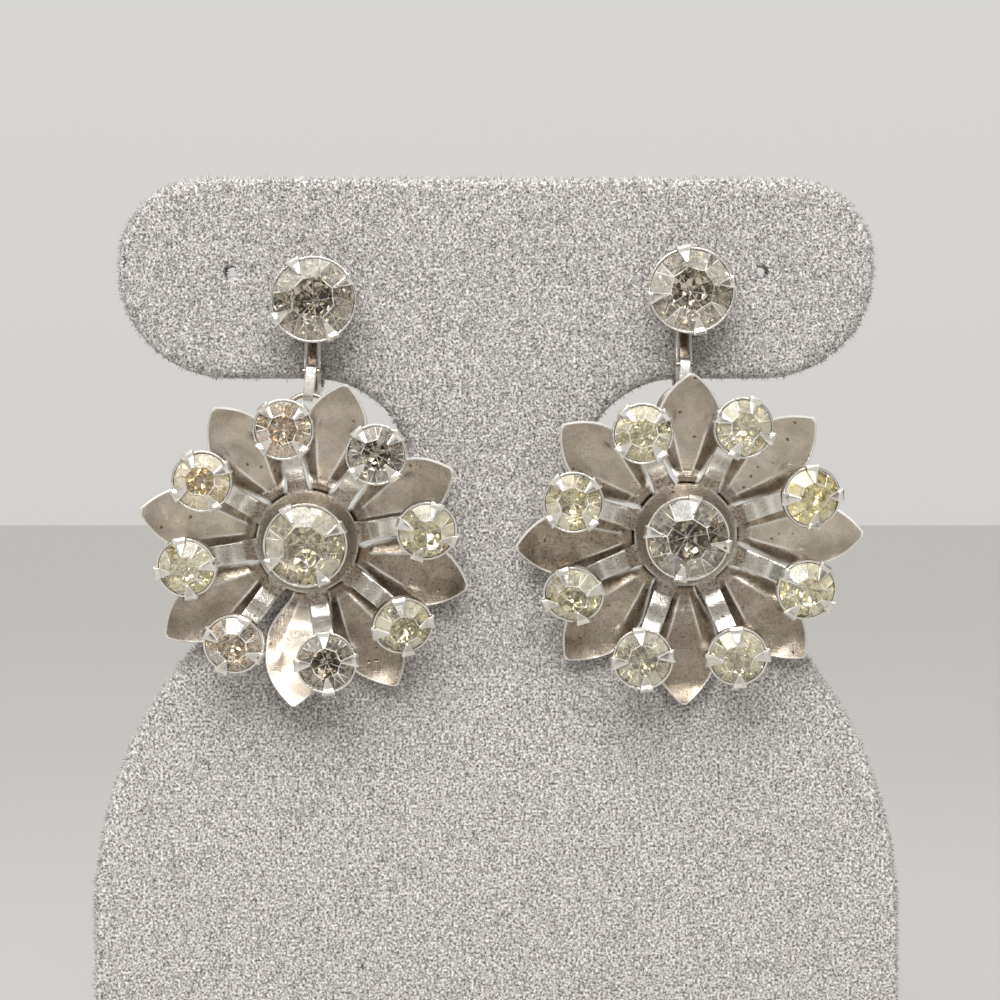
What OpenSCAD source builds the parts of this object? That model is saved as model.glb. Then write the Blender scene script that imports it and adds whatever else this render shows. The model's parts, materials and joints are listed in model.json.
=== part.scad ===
// A pair of screw back flower earrings, clamped on the arms of a small display stand.
// Millimetres, +Z up, the flowers face -Y. The origin is under the middle of the whole.

/* [Stand] */
// Height of the stand
stand_h = 82.55; // [80:0.05:90]
// Width of the arms, end to end
arm_span = 63.5; // [62:0.5:66]
// Height of the arms' lower edge above the surface
arm_bottom = 65.8; // [65.4:0.1:65.9]
// Radius of the upper corners of the arms
arm_top_r = 6.9; // [5:0.1:7]
// Radius of the lower corners of the arms
arm_low_r = 9.2; // [7:0.1:9.4]
// Radius of the half-round body
body_r = 33.7; // [32:0.1:35]
// Height of the centre of the half-round body
body_z = 21; // [18:0.1:22]
// Radius of the notch between arm and body
notch_r = 8.38; // [7.5:0.02:8.6]
// Distance of the notch's centre from the middle
notch_x = 15.38; // [15:0.02:16]
// Thickness of the panel
panel_t = 3.2; // [2.8:0.1:3.4]
// How far the foot reaches behind the panel's front face
foot_reach = 45; // [40:1:60]
// Distance of the two post holes from the middle
hole_x = 22.3; // [20:0.1:24]
// Height of the two post holes
hole_z = 74.7; // [72:0.1:76]
// Diameter of the post holes
hole_d = 1.2; // [0.8:0.1:1.6]

/* [Ear wire] */
// Width of the channelled strip
strip_w = 1.5; // [1.2:0.1:1.8]
// Thickness of the strip
strip_t = 0.6; // [0.5:0.05:0.7]
// How far the back of the strip stands behind the panel's front face
strip_back = 8.1; // [7.8:0.1:9]
// Diameter of the screw over its thread
screw_d = 1.6; // [1.2:0.1:1.8]
// Clearance of the screw in its socket
screw_gap = 0.05; // [0.03:0.01:0.08]
// Diameter of the finger disc on the screw
knob_d = 5.2; // [4:0.1:6]
// Diameter of the screw's pad
pad_d = 4.6; // [3.6:0.1:5]
// Diameter of the eye's wire
eye_wire = 0.42; // [0.4:0.01:0.45]

/* [Link] */
// Width of the link's band
link_w = 0.84; // [0.7:0.02:0.86]
// Thickness of the link's band
link_t = 0.2; // [0.15:0.01:0.22]
// Space inside the link from front to back
link_room = 0.72; // [0.68:0.01:0.74]
// Distance from the eye's wire to the ring's wire
link_drop = 1.95; // [1.9:0.01:2.1]

/* [Flower] */
// How far the flower leans back at its foot, in degrees
lean = 5.5; // [4.5:0.1:6]
// Distance of the flower's back from the panel's front face
flower_off = 1.03; // [1:0.01:1.4]
// Height of the hanging ring's centre above the flower's centre
ring_v = 10.05; // [9.9:0.01:10.2]
// Radius of the hanging ring to the middle of its wire
ring_r = 2.15; // [2:0.01:2.3]
// Diameter of the ring's wire
ring_wire = 0.45; // [0.4:0.01:0.48]
// Thickness of the petals' sheet
petal_t = 0.4; // [0.3:0.02:0.45]
// Half the width of a petal at its widest
petal_half = 2.7; // [2.3:0.05:2.8]
// Half the width of a petal at its root
waist_half = 0.75; // [0.5:0.05:1]
// Radius of the hub plate
hub_r = 4.1; // [3.8:0.1:4.4]
// Width of an arm
arm_w = 1.6; // [1.4:0.05:1.8]
// Thickness of an arm
arm_t = 0.4; // [0.3:0.05:0.5]
// Height of the small stones' girdles in front of the flower's back
small_lift = 5.2; // [5:0.1:5.6]

/* [Stones] */
// Diameter of the small stones
small_d = 4.55; // [4.4:0.05:4.7]
// Diameter of the centre stones
centre_d = 6.5; // [6.2:0.1:6.8]
// Diameter of the lobe stones
top_d = 6.7; // [6.4:0.1:7]

/* [Hidden] */
$fn = 48;
L = 0;
R = 1;
SIDES = ["l", "r"];

// The panel's front face stands this far in front of the origin
front = 18.34;

// Places that differ between the two earrings: flower centre x and z, the strip's x, the ring's
// sideways offset, the lobe stone's x and z, the turn of its prongs and of the centre cup's prongs
flower_x = [-15.65, 15.74];
flower_z = [52.2, 52.77];
strip_x = [-15.3, 15.68];
ring_u = [0.1, -0.15];
top_x = [-15.07, 16.14];
top_z = [72.1, 72.85];
top_turn = [28, 11];
centre_turn = [27, 80];

// Petals of each flower. Columns: direction in degrees, length from the flower's centre
PETALS = [
    [[124.4, 13.5], [75.8, 13.5], [26.6, 13.5], [-15.6, 13.8],
     [-58.2, 14.05], [-94.8, 13.5], [-146.3, 14.1], [168.7, 14]],
    [[88.2, 13.45], [42.8, 14.3], [1, 14.55], [-45.8, 14.1],
     [-90.2, 14.15], [-134, 14.3], [-176, 14.1], [138.2, 13.75]]];

// Small stones of each flower, clockwise from the top. Columns: direction in degrees, distance
// from the centre, tilt of the cup, direction it tilts towards, turn of its prongs
STONES = [
    [[99.7, 9.75, 5, 90, 42], [52.1, 9.6, 6, 60, 40],
     [7.7, 10.1, 14, 290, 70], [-38.7, 10.3, 20, 300, 10],
     [-79.6, 9.7, 6, 90, 5], [-126.2, 9.9, 10, 250, 65],
     [-170.1, 9.8, 10, 240, 10], [147, 9.9, 5, 120, 28]],
    [[113.5, 9.5, 6, 90, 39], [64.3, 10.2, 8, 30, 68],
     [19.6, 10.6, 14, 0, 2], [-22.8, 10.5, 10, 320, 54],
     [-66.9, 10.4, 10, 270, 5], [-110.6, 10.5, 5, 90, 7],
     [-154.6, 10.4, 20, 250, 20], [161.8, 9.9, 6, 120, 40]]];

// The cut of a stone, as shares of its diameter
table_share = 0.55;
crown_share = 0.17;
pavilion_share = 0.42;
girdle_t = 0.12;
corner_turn = 7;

// A cup around a stone
seat_gap = 0.04;
cup_wall = 0.2;
cup_floor = 0.35;
foot_share = 0.42;
prong_reach = 1.35;
prong_t = 0.22;

// The petals' sheet
root_r = 3.2;
petal_rows = 9;
petal_cols = 6;
flare_start = 0.05;
flare_end = 0.5;
widest = 0.58;
tip_half = 0.15;
tip_bow = 2.3;
rivet_r = 0.75;
rivet_hole_r = 0.82;
ring_w = 0.3;

// Clearances of the link over the eye's bar, beside the bar's legs and under the ring's wire
bar_gap = 0.1;
leg_gap = 0.12;
ring_gap = 0.2;

// The foot's bend and its rear corners
bend_h = 6;
bend_r = 1.6;
foot_corner_r = 8;

// Sine and cosine of the lean carry the flower's own axes into the frame
function flower_y(v, w) = -flower_off - w * cos(lean) - v * sin(lean);
function flower_up(v, w) = v * cos(lean) - w * sin(lean);
ring_top_v = ring_v + ring_r;
function eye_z(side) = flower_z[side] + flower_up(ring_top_v, ring_w) + link_drop;
eye_y = flower_y(ring_top_v, ring_w);

function lerp(a, b, t) = a + (b - a) * t;
function smooth(a, b, x) = let (t = min(1, max(0, (x - a) / (b - a)))) t * t * (3 - 2 * t);

// A smooth curve through a list of points, steps points to a stretch
function curve_point(p, i, t) =
    let (n = len(p) - 1,
         a = p[max(0, i - 1)], b = p[i], c = p[i + 1], d = p[min(n, i + 2)])
    0.5 * (2 * b + (c - a) * t + (2 * a - 5 * b + 4 * c - d) * t * t + (3 * b - a - 3 * c + d) * t * t * t);
function curve(p, steps) =
    concat([for (i = [0:len(p) - 2], k = [0:steps - 1]) curve_point(p, i, k / steps)], [p[len(p) - 1]]);

// The outline of a strip of thickness t along a path, set off to one side by off
function side_dir(p, i) =
    let (a = p[max(0, i - 1)], b = p[min(len(p) - 1, i + 1)], d = (b - a) / norm(b - a)) [-d[1], d[0]];
function strip_outline(p, t, off = 0) =
    concat([for (i = [0:len(p) - 1]) p[i] + side_dir(p, i) * (off + t / 2)],
           [for (i = [len(p) - 1:-1:0]) p[i] + side_dir(p, i) * (off - t / 2)]);

// Triangles of a closed shell made of two like grids, rows by cols cells, upper grid first
function shell_faces(rows, cols) =
    let (m = cols + 1, n = (rows + 1) * m,
         rim = concat([for (j = [0:cols - 1]) j], [for (i = [0:rows - 1]) i * m + cols],
                      [for (j = [cols:-1:1]) rows * m + j], [for (i = [rows:-1:1]) i * m]))
    concat(
        [for (i = [0:rows - 1], j = [0:cols - 1]) [i * m + j, i * m + j + 1, (i + 1) * m + j]],
        [for (i = [0:rows - 1], j = [0:cols - 1]) [i * m + j + 1, (i + 1) * m + j + 1, (i + 1) * m + j]],
        [for (i = [0:rows - 1], j = [0:cols - 1]) [n + i * m + j, n + (i + 1) * m + j, n + i * m + j + 1]],
        [for (i = [0:rows - 1], j = [0:cols - 1])
            [n + i * m + j + 1, n + (i + 1) * m + j, n + (i + 1) * m + j + 1]],
        [for (k = [0:len(rim) - 1]) let (a = rim[k], b = rim[(k + 1) % len(rim)]) [a, n + b, b]],
        [for (k = [0:len(rim) - 1]) let (a = rim[k], b = rim[(k + 1) % len(rim)]) [a, n + a, n + b]]);

// Draws in the frame of the panel's front face
module on_panel() {
    translate([0, -front, 0]) children();
}

// Draws in a flower's frame: x to the right, y up the flower, z towards its front
module on_flower(side) {
    on_panel() translate([flower_x[side], -flower_off, flower_z[side]]) rotate([90 + lean, 0, 0]) children();
}

// Draws with z towards the front, at a place on the panel
module facing(x, y, z) {
    on_panel() translate([x, y, z]) rotate([90, 0, 0]) children();
}

// Sets a small cup or stone at its place and tilt on the flower
module at_stone(side, k) {
    s = STONES[side][k];
    translate([s[1] * cos(s[0]), s[1] * sin(s[0]), small_lift])
        rotate([0, 0, s[3]]) rotate([0, s[2], 0]) rotate([0, 0, s[4] - s[3]]) children();
}

// The foot of a tilted cup, seen along the flower's axis
function foot_point(s) =
    let (h = cup_depth(small_d) * sin(s[2]))
    [s[1] * cos(s[0]) - h * cos(s[3]), s[1] * sin(s[0]) - h * sin(s[3])];

// A cut stone: eight-sided table, eight crown facets with narrow ones between, eight below
module cut_stone(d) {
    r = d / 2;
    top = girdle_t + crown_share * d;
    edge = [for (k = [0:7], s = [-1, 1]) 45 * k + s * corner_turn];
    points = concat(
        [for (k = [0:7]) [r * table_share * cos(45 * k), r * table_share * sin(45 * k), top]],
        [for (a = edge) [r * cos(a), r * sin(a), girdle_t]],
        [for (a = edge) [r * cos(a), r * sin(a), 0]],
        [[0, 0, -pavilion_share * d]]);
    faces = concat(
        [[for (k = [7:-1:0]) k]],
        [for (k = [0:7]) [k, 8 + 2 * k + 1, 8 + 2 * k]],
        [for (k = [0:7]) [k, (k + 1) % 8, 8 + (2 * k + 2) % 16, 8 + 2 * k + 1]],
        [for (i = [0:15]) [8 + i, 8 + (i + 1) % 16, 24 + (i + 1) % 16, 24 + i]],
        [for (i = [0:15]) [24 + i, 24 + (i + 1) % 16, 40]]);
    polyhedron(points, faces);
}

function cup_depth(d) = pavilion_share * d + cup_floor;
function cup_rim(d) = d / 2 + seat_gap + cup_wall;
function crown_z(d, x) =
    girdle_t + (d / 2 - x) * crown_share * d / (d / 2 * (1 - table_share));

// One tab of a cup, standing on its wall and bent over the stone
module prong(d) {
    r = d / 2;
    rim = cup_rim(d);
    tip = rim + 0.1 - prong_reach;
    // Columns: inner x and z, outer x and z, half width
    stations = [
        [rim - 0.12, -1.1, rim + 0.02, -1.1, 0.4],
        [rim - 0.12, -0.1, rim + 0.14, -0.05, 0.5],
        [r + 0.02, girdle_t + 0.06, rim + 0.1, girdle_t + 0.36, 0.54],
        [tip, crown_z(d, tip) + 0.05, tip - 0.02, crown_z(d, tip) + 0.05 + prong_t, 0.26]];
    points = [for (s = stations, c = [[0, -1], [2, -1], [2, 1], [0, 1]])
        [s[c[0]], c[1] * s[4], s[c[0] + 1]]];
    faces = concat(
        [[0, 1, 2], [0, 2, 3], [12, 14, 13], [12, 15, 14]],
        [for (i = [0:2], k = [0:3]) [4 * i + k, 4 * i + 4 + k, 4 * i + (k + 1) % 4]],
        [for (i = [0:2], k = [0:3]) [4 * i + (k + 1) % 4, 4 * i + 4 + k, 4 * i + 4 + (k + 1) % 4]]);
    polyhedron(points, faces);
}

// A closed cup with four prongs, its girdle line at z = 0
module prong_cup(d) {
    seat = d / 2 + seat_gap;
    deep = pavilion_share * d;
    rotate_extrude() polygon([
        [0, -deep - cup_floor], [foot_share * d / 2, -deep - cup_floor], [cup_rim(d), -0.5],
        [cup_rim(d), 0.1], [seat, 0.1], [seat, -0.08], [0.25, -deep - 0.02], [0, -deep - 0.02]]);
    for (k = [0:3]) rotate([0, 0, 90 * k]) prong(d);
}

// What rounding takes away from a square corner, the corner at the origin
module corner(r) {
    difference() {
        translate([-1, -1]) square(r + 1);
        translate([r, r]) circle(r, $fn = 96);
    }
}

// Outline of the T-shaped panel
module panel_outline() {
    difference() {
        translate([-arm_span / 2, arm_bottom]) square([arm_span, stand_h - arm_bottom]);
        translate([-arm_span / 2, arm_bottom]) corner(arm_low_r);
        translate([arm_span / 2, arm_bottom]) rotate(90) corner(arm_low_r);
        translate([arm_span / 2, stand_h]) rotate(180) corner(arm_top_r);
        translate([-arm_span / 2, stand_h]) rotate(270) corner(arm_top_r);
    }
    difference() {
        union() {
            translate([-notch_x, body_z]) square([2 * notch_x, arm_bottom - body_z + 1]);
            intersection() {
                translate([0, body_z]) circle(body_r, $fn = 192);
                translate([-body_r, body_z]) square(2 * body_r);
            }
            translate([-body_r, bend_h]) square([2 * body_r, body_z - bend_h]);
        }
        for (s = [-1, 1]) translate([s * notch_x, arm_bottom - notch_r]) circle(notch_r, $fn = 96);
    }
}

// Side view of the bend and the foot behind the panel, x to the back
module foot_outline() {
    difference() {
        union() {
            square([panel_t, bend_h + 1]);
            square([foot_reach, panel_t]);
            translate([panel_t, panel_t]) square(bend_r);
        }
        translate([panel_t + bend_r, panel_t + bend_r]) circle(bend_r);
        difference() {
            square(bend_r);
            translate([bend_r, bend_r]) circle(bend_r);
        }
    }
}

module stand() {
    color([0.6, 0.58, 0.6]) on_panel() difference() {
        union() {
            translate([0, panel_t, 0]) rotate([90, 0, 0]) linear_extrude(panel_t) panel_outline();
            translate([-body_r, 0, 0]) rotate([90, 0, 90]) linear_extrude(2 * body_r) foot_outline();
        }
        for (s = [-1, 1]) translate([s * hole_x, -1, hole_z]) rotate([-90, 0, 0])
            cylinder(d = hole_d, h = panel_t + 2);
        for (s = [-1, 1]) translate([s * body_r, foot_reach, -1]) rotate([0, 0, s > 0 ? 180 : 270])
            linear_extrude(panel_t + 2) corner(foot_corner_r);
    }
}

// Middle line of the strip in side view, x to the back, y up: behind the lobe stone, down the front,
// under the arm of the stand and up to the socket
function strip_path(side) = curve([
    [-0.45, top_z[side] + 1.2], [-0.45, top_z[side] - 2.2], [-1.2, eye_z(side) + 1.2], [-1.3, eye_z(side)],
    [-0.6, arm_bottom - 0.68], [1, arm_bottom - 0.95], [4.4, arm_bottom - 0.75], [7.1, arm_bottom + 0.7],
    [strip_back, arm_bottom + 3.2], [strip_back, top_z[side] - 1.2]], 5);

// The soldered front fitting: strip, lobe cup, eye and threaded socket
module ear_wire(side) {
    x = strip_x[side];
    leg_x = link_w / 2 + leg_gap + eye_wire / 2;
    color([0.78, 0.76, 0.73]) {
        on_panel() difference() {
            translate([x - strip_w / 2, 0, 0]) rotate([90, 0, 90]) linear_extrude(strip_w)
                polygon(strip_outline(strip_path(side), strip_t));
            translate([x - strip_w / 4, 0, 0]) rotate([90, 0, 90]) linear_extrude(strip_w / 2)
                polygon(strip_outline(strip_path(side), 0.3, -strip_t / 2));
            translate([x, strip_back - 2, top_z[side]]) rotate([-90, 0, 0])
                cylinder(r = screw_d / 2 + screw_gap, h = 4);
        }
        on_panel() translate([x, strip_back - 0.9, top_z[side]]) rotate([-90, 0, 0]) difference() {
            cylinder(d = 3.1, h = 1.8);
            translate([0, 0, -1]) cylinder(r = screw_d / 2 + screw_gap, h = 4);
        }
        facing(top_x[side], -0.65 - cup_depth(top_d), top_z[side]) rotate([0, 0, top_turn[side]])
            prong_cup(top_d);
        on_panel() translate([x, eye_y, eye_z(side)]) {
            rotate([0, 90, 0]) cylinder(d = eye_wire, h = 2 * leg_x, center = true);
            for (s = [-1, 1]) translate([s * leg_x, 0, 0]) {
                sphere(d = eye_wire);
                rotate([-90, 0, 0]) cylinder(d = eye_wire, h = -eye_y - 1.2);
            }
        }
    }
}

module top_stone(side) {
    color([0.75, 0.77, 0.74]) facing(top_x[side], -0.65 - cup_depth(top_d), top_z[side])
        rotate([0, 0, top_turn[side]]) cut_stone(top_d);
}

// The clamp screw with its pad and finger disc, plain
module screw(side) {
    major = screw_d / 2;
    minor = major - 0.14;
    pitch = 0.5;
    start = panel_t + 0.9;
    turns = 12;
    color([0.74, 0.72, 0.68]) on_panel() translate([strip_x[side], 0, top_z[side]]) rotate([-90, 0, 0]) {
        rotate_extrude() polygon(concat(
            [[0, panel_t + 0.08], [pad_d / 2 - 0.3, panel_t + 0.08], [pad_d / 2, panel_t + 0.3],
             [pad_d / 2, panel_t + 0.55], [minor, start]],
            [for (k = [0:turns - 1], s = [0, 1])
                [s == 0 ? minor : major, start + (k + 0.25 + s / 2) * pitch]],
            [[minor, start + turns * pitch], [knob_d / 2 - 0.3, start + turns * pitch],
             [knob_d / 2, start + turns * pitch + 0.3], [knob_d / 2, start + turns * pitch + 1.2],
             [knob_d / 2 - 0.3, start + turns * pitch + 1.5], [0, start + turns * pitch + 1.5]]));
    }
}

// The link between the eye and the ring, a flat band bent into a long loop
module link(side) {
    ring_x = flower_x[side] + ring_u[side];
    turn = atan2(strip_x[side] - ring_x, link_drop);
    half = link_room / 2;
    module loop(r) {
        circle(r);
        translate([0, -run]) circle(r);
        translate([-r, -run]) square([2 * r, run]);
    }
    run = link_drop + bar_gap + ring_gap - (half - eye_wire / 2) - (half - ring_wire / 2);
    color([0.82, 0.8, 0.77]) on_panel() translate([strip_x[side], eye_y, eye_z(side)])
        rotate([0, turn, 0]) translate([-link_w / 2, 0, bar_gap + eye_wire / 2 - half]) rotate([90, 0, 90])
            linear_extrude(link_w) difference() {
                loop(half + link_t);
                loop(half);
            }
}

// Half the width of a petal at a share t of the way from its root to its tip
function petal_width(t) =
    t < widest ? lerp(waist_half, petal_half, smooth(flare_start, flare_end, t))
               : lerp(tip_half, petal_half, 1 - pow((t - widest) / (1 - widest), tip_bow));

// Height of the petal's back: a shallow scoop behind the hub, then forwards to a curled point.
// The sides fall back near the root and curl forwards near the point.
// r is the distance from the centre, s runs from -1 to 1 across the petal
function petal_rise(r, t) =
    0.42 * smooth(3.3, 4.6, r) - 0.22 * (smooth(4.5, 5.4, r) - smooth(5.7, 7, r))
    + 0.2 * smooth(5.6, 7.4, r) + 0.017 * pow(max(0, r - 7), 2) + 0.75 * pow(smooth(0.7, 1, t), 2);
function petal_side(t, s) =
    0.75 * s * s * smooth(0.45, 0.75, t) * (1 - 0.7 * smooth(0.85, 1, t))
    - 0.5 * max(0, abs(s) - 0.45) / 0.55 * smooth(0.16, 0.34, t) * (1 - smooth(0.42, 0.62, t));

module petal(length) {
    grid = [for (i = [0:petal_rows], j = [0:petal_cols])
        let (t = i / petal_rows, s = 2 * j / petal_cols - 1, r = lerp(root_r, length, t))
        [r, s * petal_width(t), petal_rise(r, t) + petal_side(t, s)]];
    polyhedron(concat([for (p = grid) p + [0, 0, petal_t]], grid), shell_faces(petal_rows, petal_cols));
}

// The stamped petals with the hanging ring soldered on their back
module petals(side) {
    color([0.74, 0.71, 0.67]) on_flower(side) {
        difference() {
            union() {
                translate([0, 0, -0.02]) cylinder(r = hub_r, h = petal_t);
                for (p = PETALS[side]) rotate([0, 0, p[0]]) petal(p[1]);
            }
            translate([0, 0, -1]) cylinder(r = rivet_hole_r, h = 3);
        }
        translate([ring_u[side], ring_v, ring_w])
            rotate_extrude() translate([ring_r, 0]) circle(d = ring_wire, $fn = 24);
        for (a = [-155, -90, -25])
            translate([ring_u[side] + ring_r * cos(a), ring_v + ring_r * sin(a), ring_w + 0.18])
                sphere(r = 0.42);
    }
}

// Side view of a flat arm, x outwards, y to the front, ending under a cup's foot
small_foot = small_lift - cup_depth(small_d);
function arm_path(reach) = curve([
    [hub_r - 0.6, 1.12], [5.4, 1.2], [lerp(5.4, reach, 0.55), 1.85], [reach - 0.7, small_foot + 0.02],
    [reach + 0.9, small_foot + 0.02]], 6);

// Hub plate with eight arms and cups
module spray(side) {
    color([0.8, 0.78, 0.75]) on_flower(side) {
        rotate_extrude() polygon([
            [rivet_hole_r, petal_t + 0.05], [2.9, petal_t + 0.05], [hub_r, petal_t + 0.5],
            [hub_r, petal_t + 0.9], [2.8, petal_t + 0.45], [rivet_hole_r, petal_t + 0.45]]);
        for (k = [0:7]) {
            foot = foot_point(STONES[side][k]);
            rotate([0, 0, atan2(foot[1], foot[0])]) translate([0, arm_w / 2, 0]) rotate([90, 0, 0])
                linear_extrude(arm_w) polygon(strip_outline(arm_path(norm(foot)), arm_t));
            at_stone(side, k) prong_cup(small_d);
        }
    }
}

centre_foot = petal_t + 0.5;
module at_centre(side) {
    on_flower(side) translate([0, 0, centre_foot + cup_depth(centre_d)]) rotate([0, 0, centre_turn[side]])
        children();
}

// The centre cup with the rivet through hub and petals
module centre_cup(side) {
    color([0.8, 0.78, 0.75]) {
        at_centre(side) prong_cup(centre_d);
        on_flower(side) {
            translate([0, 0, -0.2]) cylinder(r = rivet_r, h = centre_foot + 0.3);
            translate([0, 0, -0.42]) cylinder(r = 1.5, h = 0.35);
        }
    }
}

module centre_stone(side) {
    color([0.75, 0.77, 0.74]) at_centre(side) cut_stone(centre_d);
}

module small_stone(side, k) {
    color([0.8, 0.81, 0.68]) on_flower(side) at_stone(side, k) cut_stone(small_d);
}

stand();
for (side = [L, R]) {
    ear_wire(side);
    top_stone(side);
    screw(side);
    link(side);
    petals(side);
    spray(side);
    centre_cup(side);
    centre_stone(side);
    for (k = [0:7])
        small_stone(side, k);
}
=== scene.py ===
"""A pair of screw back flower earrings on a flocked display stand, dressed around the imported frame."""

import json
import random
from math import asin, atan2, copysign, cos, exp, pi, radians, remainder, sin, tan, tau

import bmesh
import bpy
import numpy as np
from mathutils import Matrix, Vector, noise


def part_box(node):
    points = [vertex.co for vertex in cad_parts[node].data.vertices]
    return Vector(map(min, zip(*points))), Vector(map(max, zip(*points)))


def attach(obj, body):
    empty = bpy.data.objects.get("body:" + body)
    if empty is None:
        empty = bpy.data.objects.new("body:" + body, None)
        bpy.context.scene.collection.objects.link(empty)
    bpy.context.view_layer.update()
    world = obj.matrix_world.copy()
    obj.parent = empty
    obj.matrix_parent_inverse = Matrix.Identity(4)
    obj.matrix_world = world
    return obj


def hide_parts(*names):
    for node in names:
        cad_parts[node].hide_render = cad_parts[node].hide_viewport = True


bl_info = {
    "name": "Flower Earrings",
    "version": (1, 0, 0),
    "blender": (4, 5, 0),
    "location": "View3D > Sidebar > Earrings",
    "description": "Builds a pair of flower earrings and the flocked stand that they hang on",
    "category": "Add Mesh",
}

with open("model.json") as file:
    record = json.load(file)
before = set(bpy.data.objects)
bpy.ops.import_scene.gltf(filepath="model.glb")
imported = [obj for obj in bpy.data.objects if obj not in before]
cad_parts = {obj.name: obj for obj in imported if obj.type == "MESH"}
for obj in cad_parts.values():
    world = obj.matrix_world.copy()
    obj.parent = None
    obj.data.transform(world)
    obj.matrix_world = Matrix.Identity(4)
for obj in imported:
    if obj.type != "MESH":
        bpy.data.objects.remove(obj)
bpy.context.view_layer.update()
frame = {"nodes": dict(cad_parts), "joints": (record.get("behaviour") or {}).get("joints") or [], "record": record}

# Pieces are modelled in millimetres and placed in metres
MM = 0.001
TO_METRES = Matrix.Scale(MM, 4)
SIDES = ("l", "r")
JOINTS = {joint["name"]: joint for joint in frame["joints"]}

# Petals of each flower. Columns: direction in degrees, length from the flower's centre in mm, how dark it is
# painted (partly tarnished plating, partly a painted shade for how much light the petal catches), and how many
# degrees it is bent forwards
PETALS = {
    "l": [(124.4, 13.5, 0.08, 0), (75.8, 13.5, 0.1, 0), (26.6, 13.5, 0.2, 1), (-15.6, 13.8, 0.4, 0),
          (-58.2, 14.05, 0.3, -2), (-94.8, 13.5, 0, 16), (-146.3, 14.1, 0.25, -1), (168.7, 14, 0, 3)],
    "r": [(88.2, 13.45, 0.15, 0), (42.8, 14.3, 0.05, 2), (1, 14.55, 0, 6), (-45.8, 14.1, 0.3, -2),
          (-90.2, 14.15, 0.35, -3), (-134, 14.3, 0.3, -3), (-176, 14.1, 0.4, 0), (138.2, 13.75, 0.15, 1)],
}

# Small stones, clockwise from the top. Columns: direction in degrees, distance from the centre in mm,
# tilt of the cup, direction it tilts towards, turn of its prongs
STONES = {
    "l": [(99.7, 9.75, 5, 90, 42), (52.1, 9.6, 6, 60, 40), (7.7, 10.1, 14, 290, 70),
          (-38.7, 10.3, 20, 300, 10), (-79.6, 9.7, 6, 90, 5), (-126.2, 9.9, 10, 250, 65),
          (-170.1, 9.8, 10, 240, 10), (147, 9.9, 5, 120, 28)],
    "r": [(113.5, 9.5, 6, 90, 39), (64.3, 10.2, 8, 30, 68), (19.6, 10.6, 14, 0, 2),
          (-22.8, 10.5, 10, 320, 54), (-66.9, 10.4, 10, 270, 5), (-110.6, 10.5, 5, 90, 7),
          (-154.6, 10.4, 20, 250, 20), (161.8, 9.9, 6, 120, 40)],
}

# The glass and the foil behind it, stone by stone: top stone, centre stone, then 1 to 8
TINTS = {
    "l": ("clear", "pale", "blush", "dark", "yellow", "yellow", "dark", "blush", "yellow", "peach"),
    "r": ("clear", "dark", "yellow", "yellow", "amber", "butter", "yellow", "pale", "yellow", "yellow"),
}

# Places that differ between the two earrings: sideways offset of the hanging ring in mm, turn of the
# lobe cup's prongs and of the centre cup's prongs in degrees
RING_U = {"l": 0.1, "r": -0.15}
TOP_TURN = {"l": 28, "r": 11}
CENTRE_TURN = {"l": 27, "r": 80}
# A hanging ring in mm: its place up the flower and to its front, its radius and its wire's radius. Then
# how far the hanging flowers lean, in degrees
RING_V = 10.05
RING_W = 0.3
RING_R = 2.15
RING_WIRE = 0.225
LEAN = 5.5

# The cut of a stone, as shares of its diameter, and its thickness at the girdle in mm
TABLE = 0.55
CROWN = 0.17
PAVILION = 0.42
GIRDLE = 0.12
# The materials of a stone, in the order of its slots; the last carries the painted highlight on the facet edges
GLASS, CROWN_GLASS, FOIL, EDGE_HIGHLIGHT = range(4)

# A cup in mm: its floor under the stone's point, its sheet, half the width of a prong at the rim and at the
# tip, how far the tip reaches in from the rim. Its foot is a share of its stone's size
CUP_FLOOR = 0.35
CUP_SHEET = 0.18
PRONG_HALF = 0.54
PRONG_TIP = 0.1
PRONG_REACH = 1.2
FOOT_SHARE = 0.42
# Where a centre cup's floor stands on the hub plate, and the hub plate's height at its rim, in mm
HUB_TOP = 0.9
HUB_RIM = 1.14

# A link, a strip with its loop, and the height of the arms' underside above the ground, in mm
LINK_HALF = 0.46
LINK_WIDTH = 0.84
LINK_SHEET = 0.2
STRIP_HALF = 0.68
STRIP_SHEET = 0.24
LOOP_WIRE = 0.21
ARM_Z = 65.8

# The camera: focal length in mm, and its place to the right and above the ground in metres
LENS = 103.1
CAMERA_X = 0.000335
CAMERA_Z = 0.05556

# A petal's outline: its root in mm from the flower's centre, where it flares and where it is widest as
# shares of its length, half the width of its tip in mm, and how much its sides bow towards the tip
ROOT_R = 3.2
FLARE = (0.05, 0.5)
WIDEST = 0.58
TIP_HALF = 0.15
TIP_BOW = 2.3
# Bends across a petal: distance from the flower's centre and height, in mm
BENDS = ((3.3, 0), (4.65, 0.42), (5.45, 0.17), (6.65, 0.52), (7.4, 0.62), (9, 0.69), (11, 0.89),
         (13, 1.22), (15, 1.7))
# The ends of the crease along each side of a petal: distance from the flower's centre and from the
# petal's middle line, in mm
CREASE = ((4.7, 0.25), (9.2, 1.55))
# Where a bean-shaped swelling sits at each side of a petal, along it and from its middle line, in mm
BEAN = (9.7, 1.7)


def number_setting(name, about, default, **more):
    return bpy.props.FloatProperty(name=name, description=about, default=default, **more)


def length_setting(name, about, default):
    return number_setting(name, about, default, unit="LENGTH", precision=5)


def colour_setting(name, about, default):
    return bpy.props.FloatVectorProperty(name=name, description=about, default=default, subtype="COLOR")


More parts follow.
